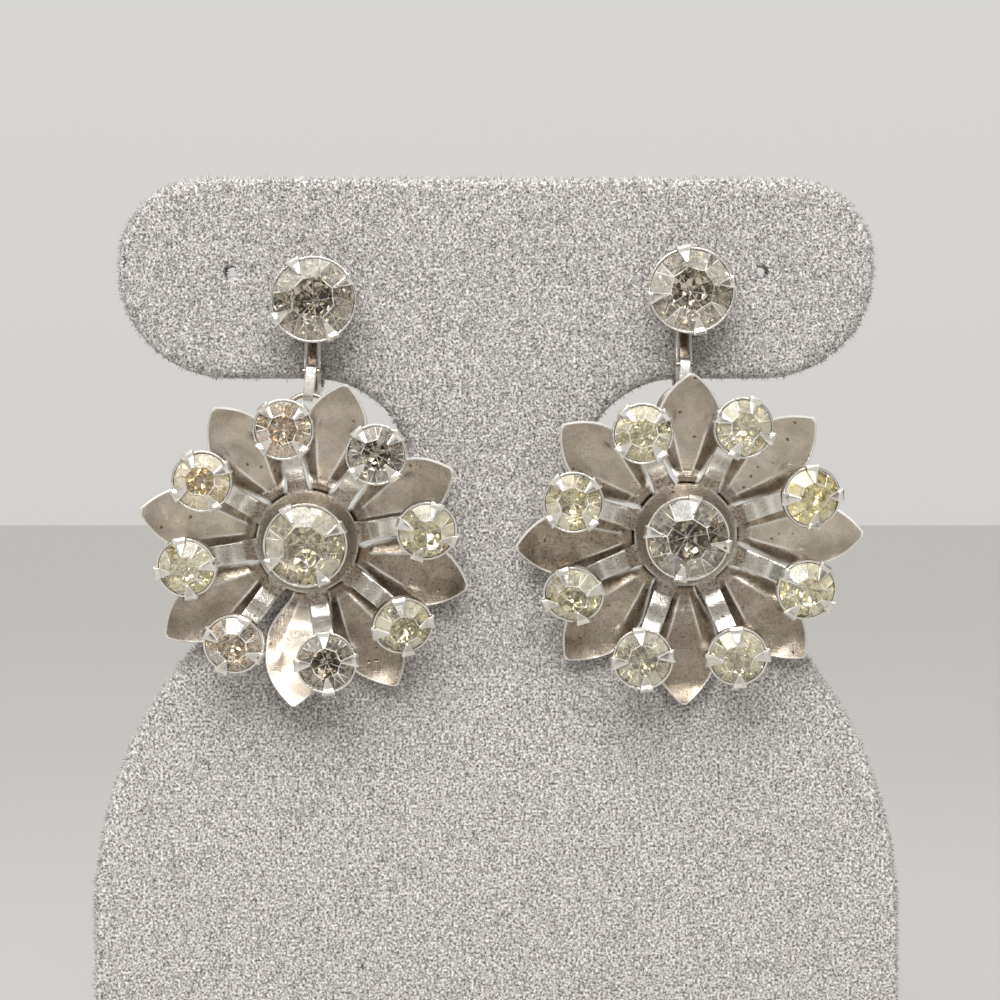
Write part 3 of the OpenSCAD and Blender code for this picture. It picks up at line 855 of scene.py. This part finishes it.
def petal(length, tarnish_and_shade, lift, chance):
    """One stamped petal along x: two bends across it near the hub, a ridge along each side where the
    sheet folds back, and a cupped, pointed end."""
    fold, cup, curl = (chance.uniform(0.8, 1.2) for _ in range(3))
    curl *= 1 - lift / 16
    tilt = chance.uniform(-0.04, 0.04)
    drift = Vector((chance.uniform(0, 50), chance.uniform(0, 50), chance.uniform(0, 50)))

    def place(t, s):
        r = lerp(ROOT_R, length, t)
        edge = petal_width(t)
        fold_line = min(crease(r), edge * 0.5)
        share = abs(s) - 0.06 * sin(4 * pi * abs(s))
        y = fold_line * share * 2 if share < 0.5 else lerp(fold_line, edge, share * 2 - 1)
        y = copysign(y, s)
        z = bent_line(BENDS, r, 0.22) + curl * 0.5 * smooth(0.75, 1, t) ** 2
        z += tan(radians(lift)) * max(0, r - 6.7)
        z += cup * 0.22 * (y / 2) ** 2 * smooth(0.45, 0.75, t)
        z += 0.15 * exp(-((r - BEAN[0]) / 0.75) ** 2 - ((abs(y) - BEAN[1]) / 0.45) ** 2)
        z -= fold * 0.34 * max(0, abs(y) - crease(r)) * smooth(4.6, 5.4, r) * (1 - smooth(8.6, 10.2, r))
        z += tilt * y * smooth(5, 8, r)
        z += 0.05 * noise.noise(Vector((r, y, 0)) * 0.45 + drift) * smooth(5, 8, r)
        return Vector((r, y, z + settings().flower.petal_sheet / MM / 2))

    piece = sheet(52, 28, place)
    thicken(piece, settings().flower.petal_sheet / MM, 0.07)

    # Painted shade: dark on the flanges that fold back, dark near the hub, and as dark as the petal's own value
    # from the table
    def painted_shade(co):
        r, y = co.x, abs(co.y)
        flange = smooth(-0.05, 0.15, y - crease(r)) * smooth(4.6, 5.4, r) * (1 - smooth(8.8, 10, r))
        return max(0.45 * flange, 0.7 * (1 - smooth(4.2, 6.2, r)), tarnish_and_shade) + 0.4 * tarnish_and_shade

    # Painted highlight: a bright line along the cut border and along each crease ridge
    def painted_highlight(co):
        r, y = co.x, abs(co.y)
        border = min(petal_width((r - ROOT_R) / (length - ROOT_R)) - y, length - r)
        ridge = exp(-((y - crease(r)) / 0.09) ** 2) * smooth(4.9, 5.6, r) * (1 - smooth(8.2, 9.2, r))
        return max(1 - smooth(0.09, 0.2, border), 0.85 * ridge)

    paint(piece, "painted_shade", painted_shade)
    paint(piece, "painted_highlight", painted_highlight)
    return piece


def hanging_ring(side):
    """The round ring with three blobs of solder that hold it on the petals' back."""
    bpy.ops.mesh.primitive_torus_add(
        major_radius=RING_R, minor_radius=RING_WIRE, major_segments=72, minor_segments=16,
        location=(RING_U[side], RING_V, RING_W))
    pieces = [bpy.context.object]
    for angle in (-155, -90, -25):
        turn = radians(angle)
        bpy.ops.mesh.primitive_ico_sphere_add(
            subdivisions=3, radius=0.4, location=(RING_U[side] + RING_R * cos(turn),
                                                  RING_V + RING_R * sin(turn), RING_W + 0.18))
        pieces.append(bpy.context.object)
    ring = join(pieces, "ring")
    bpy.ops.object.transform_apply(location=True)
    apply_modifier(ring, "REMESH", mode="VOXEL", voxel_size=0.08)
    apply_modifier(ring, "SMOOTH", factor=0.5, iterations=4)
    return ring


class EARRINGS_OT_petals(bpy.types.Operator):
    """Stamps the petals of both flowers and solders the hanging rings on"""
    bl_idname = "earrings.petals"
    bl_label = "Petals"

    def execute(self, context):
        finish = metal("petal_metal", "stamped", 0.35, 1.1, 0.6, painted_shade=True)
        for side in SIDES:
            chance = random.Random(f"petals {side}")
            pieces = []
            for direction, length, tarnish_and_shade, lift in PETALS[side]:
                leaf = petal(length, tarnish_and_shade, lift, chance)
                leaf.data.transform(turn_by(direction, "Z"))
                pieces.append(leaf)
            disc = turned([(0.9, 0.2), (2.5, 0.2), (4.1, 0.2)], 64, closed_start=False)
            thicken(disc, 0.36)
            pieces += [disc, hanging_ring(side)]
            whole = join(pieces, f"petal_sheet_{side}")
            shade(whole, 32)
            settle(whole, [finish], flower_place(side), f"flower_{side}", f"petals_{side}")
        return {"FINISHED"}


def foot_point(row):
    """Where a tilted cup's foot stands, seen along the flower's axis."""
    direction, distance, tilt, towards, _ = row
    shift = cup_depth(settings().stones.small / MM) * sin(radians(tilt))
    return (distance * Vector((cos(radians(direction)), sin(radians(direction))))
            - shift * Vector((cos(radians(towards)), sin(radians(towards)))))


def star(side):
    """The hub plate with its eight arms, drawn out of one sheet."""
    flower = settings().flower
    hub = flower.hub_radius / MM
    half = flower.arm_width / MM / 2
    root = half + 0.12
    foot_z = flower.small_lift / MM - cup_depth(settings().stones.small / MM)
    feet = sorted((foot_point(row) for row in STONES[side]), key=lambda p: atan2(p.y, p.x) % tau)
    ways = [atan2(p.y, p.x) % tau for p in feet]
    spread = asin(root / hub)
    angles = []
    for k, way in enumerate(ways):
        gap = (ways[(k + 1) % 8] - way) % tau - 2 * spread
        angles += [way + spread * j / 3 for j in range(-3, 4)]
        angles += [way + spread + gap * j / 4 for j in range(1, 4)]
    plate = turned([(1.2, 0.72), (2.2, 0.74), (3.0, 0.8), (3.6, 0.96), (hub - 0.2, 1.1), (hub, HUB_RIM)],
                   angles, closed_start=False)
    edit_mode()
    for foot in feet:
        reach = foot.length
        # An arm's middle line: distance from the flower's centre and height
        top = [(hub, HUB_RIM), (hub + 1, 1.16), (hub + 1.95, 1.6), (hub + 3.35, 1.78),
               (hub + 0.93 * (reach - hub), foot_z), (reach + 1, foot_z)]
        steps = [lerp(hub, reach + 0.9, k / 32) for k in range(1, 33)]
        draw_out(plate, Vector((*foot.normalized(), 0)), hub, root,
                 [(r, bent_line(top, r, 0.2), half + 0.12 * (1 - smooth(0, 0.6, r - hub)), 0)
                  for r in steps])
    object_mode()
    close_seams(plate)
    thicken(plate, flower.arm_sheet / MM)

    # Painted shade: dark near the hub and in a band part way along each arm
    def painted_shade(co):
        out = co.xy.length - hub
        near_hub = lerp(0.38, 0.78, smooth(-0.2, 0.2, out)) * (1 - smooth(0.85, 1.2, out))
        return near_hub + 0.4 * smooth(1.9, 2.15, out) * (1 - smooth(2.7, 3.1, out))

    # Painted highlight along the arms' edges, out from the hub
    def painted_highlight(co):
        at = co.xy
        aside = min(abs(at.dot(Vector((-foot.y, foot.x)).normalized())) for foot in feet if at.dot(foot) > 0)
        return 0.4 * smooth(half - 0.09, half - 0.02, aside) * smooth(hub + 1, hub + 2, at.length)

    paint(plate, "painted_shade", painted_shade)
    paint(plate, "painted_highlight", painted_highlight)
    return plate


class EARRINGS_OT_sprays(bpy.types.Operator):
    """Builds the hub plates with their arms and small cups"""
    bl_idname = "earrings.sprays"
    bl_label = "Sprays"

    def execute(self, context):
        cup = prong_cup(settings().stones.small / MM)
        finish = metal("spray_metal", "bright", 0.3, 0.85, 0.35, painted_shade=True)
        for side in SIDES:
            pieces = [star(side)] + [copy_of(cup, stone_place(side, row)) for row in STONES[side]]
            whole = join(pieces, f"hub_and_arms_{side}")
            shade(whole)
            settle(whole, [finish], flower_place(side), f"flower_{side}", f"spray_{side}")
        discard(cup)
        return {"FINISHED"}


class EARRINGS_OT_centre_cups(bpy.types.Operator):
    """Builds the centre cups with their rivets"""
    bl_idname = "earrings.centre_cups"
    bl_label = "Centre cups"

    def execute(self, context):
        cup = prong_cup(settings().stones.centre / MM)
        finish = metal("cup_metal", "bright", 0.3, 0.8, 0.3)
        for side in SIDES:
            rivet = turned([(0.3, -0.42), (1.1, -0.4), (1.42, -0.28), (1.5, -0.12), (0.78, -0.1),
                            (0.75, 0.4), (0.75, 1.1)], 48)
            close_seams(rivet)
            whole = join([copy_of(cup, centre_place(side)), rivet], f"centre_setting_{side}")
            shade(whole)
            settle(whole, [finish], flower_place(side), f"flower_{side}", f"centre_cup_{side}")
        discard(cup)
        return {"FINISHED"}


def flat_link(side):
    """The flat link's band, bent to a long loop in the y-z plane from z = 0 down, and its place in mm."""
    low, high = box_mm(f"link_{side}")
    eye, ring = joint_mm(f"link_{side}_swing"), joint_mm(f"flower_{side}_sway")
    turn = atan2(eye.x - ring.x, eye.z - ring.z - RING_R * cos(radians(LEAN)))
    bend = pi * LINK_HALF
    run = (high.z - low.z - LINK_WIDTH * abs(sin(turn))) / cos(turn) - 2 * LINK_HALF - LINK_SHEET

    def place(t, s):
        at = 2 * t * (bend + run)
        behind = at >= bend + run
        way = at - bend - run if behind else at
        if way < bend:
            y, z = -LINK_HALF * cos(way / LINK_HALF), LINK_HALF * sin(way / LINK_HALF)
        else:
            y, z = LINK_HALF, bend - way
        if behind:
            y, z = -y, -run - z
        bow = 0.12 * (1 - min(1, abs(z + run / 2) / (run / 2 + LINK_HALF)) ** 2)
        return Vector((s * LINK_WIDTH / 2, y - bow if y < 0 else y, z))

    band = sheet(72, 6, place)
    close_seams(band)
    thicken(band, LINK_SHEET, 0.05)
    shade(band)
    band.name = f"flat_link_{side}"
    lift = Matrix.Translation((0, 0, run / 2))
    return band, Matrix.Translation((low + high) / 2) @ Matrix.Rotation(turn, 4, "Y") @ lift


class EARRINGS_OT_links(bpy.types.Operator):
    """Bends the flat links that the flowers hang from"""
    bl_idname = "earrings.links"
    bl_label = "Links"

    def execute(self, context):
        # The link's plating is the near-white painted highlight colour all over
        finish = metal("link_metal", "painted_highlight", 0.25, 1.3, 0.3)
        for side in SIDES:
            band, place = flat_link(side)
            settle(band, [finish], TO_METRES @ place, f"link_{side}", f"link_{side}")
        return {"FINISHED"}


# The ear wires

def strip_line(side):
    """Middle line of the strip in side view, y to the back and z up in mm."""
    front = box_mm("stand")[0].y
    low, high = box_mm(f"screw_{side}")
    top = (low.z + high.z) / 2
    eye = joint_mm(f"link_{side}_swing").z
    points = [(-0.45, top + 1.2), (-0.45, top - 2.2), (-1.2, eye + 1.2), (-1.3, eye),
              (-0.6, ARM_Z - 0.68), (1, ARM_Z - 0.95), (4.4, ARM_Z - 0.75), (7.1, ARM_Z + 0.7),
              (8.1, ARM_Z + 3.2), (8.1, top - 1.2)]
    return [Vector((0, front + y, z)) for y, z in points]


def along(points, t):
    """A point and its direction at a share t of a smooth line through points."""
    at = min(t * (len(points) - 1), len(points) - 1.0001)
    k = int(at)
    t = at - k
    a, b = points[max(0, k - 1)], points[k]
    c, d = points[k + 1], points[min(len(points) - 1, k + 2)]
    square, cube = 2 * a - 5 * b + 4 * c - d, 3 * b - a - 3 * c + d
    spot = 0.5 * (2 * b + (c - a) * t + square * t * t + cube * t ** 3)
    way = 0.5 * ((c - a) + 2 * square * t + 3 * cube * t * t)
    return spot, way.normalized()


def channelled_strip(points, x):
    """The strip along points, its middle at x and its edges bent forwards."""
    def channel(t, s):
        spot, way = along(points, t)
        out = Vector((0, way.z, -way.y))
        depth = 0.3 * (1 - smooth(0.45, 0.85, abs(s)))
        return Vector((x + s * STRIP_HALF, 0, 0)) + spot + out * (depth - STRIP_SHEET / 2)

    strip = sheet(90, 14, channel)
    thicken(strip, STRIP_SHEET, 0.07)
    # Painted shade down the channel's middle and a painted highlight along its bent edges
    paint(strip, "painted_shade", lambda co: 0.85 * (1 - smooth(0.3, 0.45, abs(co.x - x))))
    paint(strip, "painted_highlight", lambda co: 0.8 * smooth(0.5, 0.62, abs(co.x - x)))
    return strip


def wire_loop(eye):
    """The small loop in front of the strip that the link hangs in."""
    leg = LINK_WIDTH / 2 + 0.12 + LOOP_WIRE
    half = [(leg - 0.12, 0), (leg, 0.12), (leg, 0.5), (leg, 1.3)]
    bend = [eye + Vector((x, y, 0)) for x, y in [(-x, y) for x, y in reversed(half)] + [(0, 0)] + half]
    up = Vector((0, 0, 1))

    def tube(t, s):
        spot, way = along(bend, t)
        turn = pi * s
        return spot + (way.cross(up) * cos(turn) + up * sin(turn)) * LOOP_WIRE

    loop = sheet(56, 14, tube)
    close_seams(loop)
    # Painted shade, even over the whole loop
    paint(loop, "painted_shade", lambda co: 0.6)
    return loop


def threaded_socket(x, end):
    """The round socket on the strip's end behind the arm."""
    socket = turned([(0.87, 0), (1.35, 0), (1.55, 0.18), (1.55, 1.62), (1.35, 1.8), (0.87, 1.8), (0.86, 0.9),
                     (0.87, 0)], 40, closed_start=False)
    close_seams(socket)
    socket.data.transform(Matrix.Translation((x, end.y - 0.9, end.z + 1.2)) @ turn_by(-90, "X"))
    return socket


class EARRINGS_OT_ear_wires(bpy.types.Operator):
    """Builds the channelled strips with their lobe cups, eyes and threaded sockets"""
    bl_idname = "earrings.ear_wires"
    bl_label = "Ear wires"

    def execute(self, context):
        cup = prong_cup(settings().stones.top / MM)
        finish = metal("wire_metal", "bright", 0.3, 0.8, 0.25, painted_shade=True)
        for side in SIDES:
            eye = joint_mm(f"link_{side}_swing")
            points = strip_line(side)
            pieces = [channelled_strip(points, eye.x), wire_loop(eye), threaded_socket(eye.x, points[-1])]
            wire = join(pieces, f"wire_{side}")
            wire.data.transform(TO_METRES)
            whole = join([wire, copy_of(cup, top_place(side))], f"lobe_fitting_{side}")
            shade(whole)
            settle(whole, [finish], Matrix.Identity(4), "stand", f"ear_wire_{side}")
        discard(cup)
        return {"FINISHED"}


class EARRINGS_OT_screws(bpy.types.Operator):
    """Turns the plain clamp screws"""
    bl_idname = "earrings.screws"
    bl_label = "Screws"

    def execute(self, context):
        finish = metal("screw_metal", "bright", 0.3, 0.9, 0.3)
        pad = [(1.0, 0), (2.0, 0), (2.25, 0.1), (2.3, 0.25), (2.25, 0.42), (1.4, 0.6), (0.66, 0.82)]
        thread = [(0.66 + 0.14 * (k % 2), 0.82 + 0.25 * (k + 0.5)) for k in range(24)]
        disc = [(0.66, 6.9), (2.2, 6.95), (2.5, 7.05), (2.6, 7.3), (2.6, 7.9), (2.5, 8.15), (2.2, 8.28),
                (1.2, 8.32), (0.3, 8.32)]
        for side in SIDES:
            low, high = box_mm(f"screw_{side}")
            scale = (high.y - low.y) / disc[-1][1]
            screw = turned([(r, z * scale) for r, z in pad + thread + disc], 48)
            close_seams(screw, holes=True)
            shade(screw)
            screw.name = f"clamp_screw_{side}"
            foot = Vector(((low.x + high.x) / 2, low.y, (low.z + high.z) / 2)) * MM
            settle(screw, [finish], Matrix.Translation(foot) @ turn_by(-90, "X") @ TO_METRES,
                   "stand", f"screw_{side}")
        return {"FINISHED"}


# The stage

def studio_light(tree):
    """A studio that is bright from above, dimmer at both sides and brighter behind the stand."""
    sky = Nodes(tree)
    parts = sky.add("SeparateXYZ", {0: sky.add("TexCoord").outputs["Generated"]}).outputs
    ramp = sky.add("ValToRGB", {"Fac": sky.spread(parts["Z"], -1, 1)})
    # Brightness by height of the direction, from straight down, -1, to straight up, 1
    tones = ((-1, 0.2), (-0.3, 0.25), (0, 0.28), (0.25, 0.3), (0.42, 0.38), (0.62, 0.95), (1, 0.75))
    while len(ramp.color_ramp.elements) < len(tones):
        ramp.color_ramp.elements.new(0.5)
    for stop, (up, tone) in zip(ramp.color_ramp.elements, tones):
        stop.position = (up + 1) / 2
        stop.color = (tone, tone * 0.985, tone * 0.95, 1)
    soft = {"interpolation_type": "SMOOTHSTEP"}
    sides = sky.spread(sky.maths("ABSOLUTE", parts["X"]), 0.35, 0.75, 1.6, 0.45, **soft)
    behind = sky.spread(parts["Y"], 0.5, 0.9, 1, 1.45, **soft)
    sky.feed(tree.nodes["Background"],
             {"Strength": sky.maths("MULTIPLY", sides, behind), "Color": ramp.outputs["Color"]})


class EARRINGS_OT_stage(bpy.types.Operator):
    """Sets the floor, the soft light and the camera"""
    bl_idname = "earrings.stage"
    bl_label = "Stage"

    def execute(self, context):
        stage = settings().stage
        bpy.ops.mesh.primitive_plane_add(size=12)
        floor = bpy.context.object
        floor.name = "floor"
        floor.data.materials.append(floor_paint())

        world = bpy.data.worlds.new("studio")
        context.scene.world = world
        world.use_nodes = True
        studio_light(world.node_tree)

        light = bpy.data.lights.new("key", "AREA")
        light.shape = "RECTANGLE"
        light.size, light.size_y = 0.45, 0.42
        light.energy = stage.key
        key = bpy.data.objects.new("key", light)
        key.location = (-0.06, -0.42, 0.48)
        to_flowers = Vector((0, -0.018, 0.055)) - key.location
        key.rotation_euler = to_flowers.to_track_quat("-Z", "Y").to_euler()

        camera = bpy.data.cameras.new("camera")
        camera.lens = LENS
        camera.clip_start = 0.01
        eye = bpy.data.objects.new("camera", camera)
        eye.location = (CAMERA_X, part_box("stand")[0].y - stage.distance, CAMERA_Z)
        eye.rotation_euler = (radians(90), 0, 0)
        for holder in key, eye:
            bpy.context.collection.objects.link(holder)
        context.scene.camera = eye
        context.scene.view_settings.view_transform = "Standard"
        return {"FINISHED"}


class EARRINGS_PT_panel(bpy.types.Panel):
    """Lists the earrings' operators"""
    bl_label = "Earrings"
    bl_idname = "EARRINGS_PT_panel"
    bl_space_type = "VIEW_3D"
    bl_region_type = "UI"
    bl_category = "Earrings"

    def draw(self, context):
        for operator in OPERATORS:
            self.layout.operator(operator.bl_idname)


OPERATORS = (EARRINGS_OT_stage, EARRINGS_OT_stand, EARRINGS_OT_ear_wires, EARRINGS_OT_screws,
             EARRINGS_OT_links, EARRINGS_OT_petals, EARRINGS_OT_sprays, EARRINGS_OT_centre_cups,
             EARRINGS_OT_stones)
CLASSES = (StandSettings, MetalSettings, FlowerSettings, StoneSettings, StageSettings, EarringSettings,
           *OPERATORS, EARRINGS_PT_panel)


def register():
    for cls in CLASSES:
        bpy.utils.register_class(cls)
    bpy.types.Scene.earring_settings = bpy.props.PointerProperty(type=EarringSettings)


def unregister():
    del bpy.types.Scene.earring_settings
    for cls in reversed(CLASSES):
        bpy.utils.unregister_class(cls)


def main():
    register()
    for operator in OPERATORS:
        getattr(bpy.ops.earrings, operator.bl_idname.split(".")[1])()


if __name__ == "__main__":
    main()
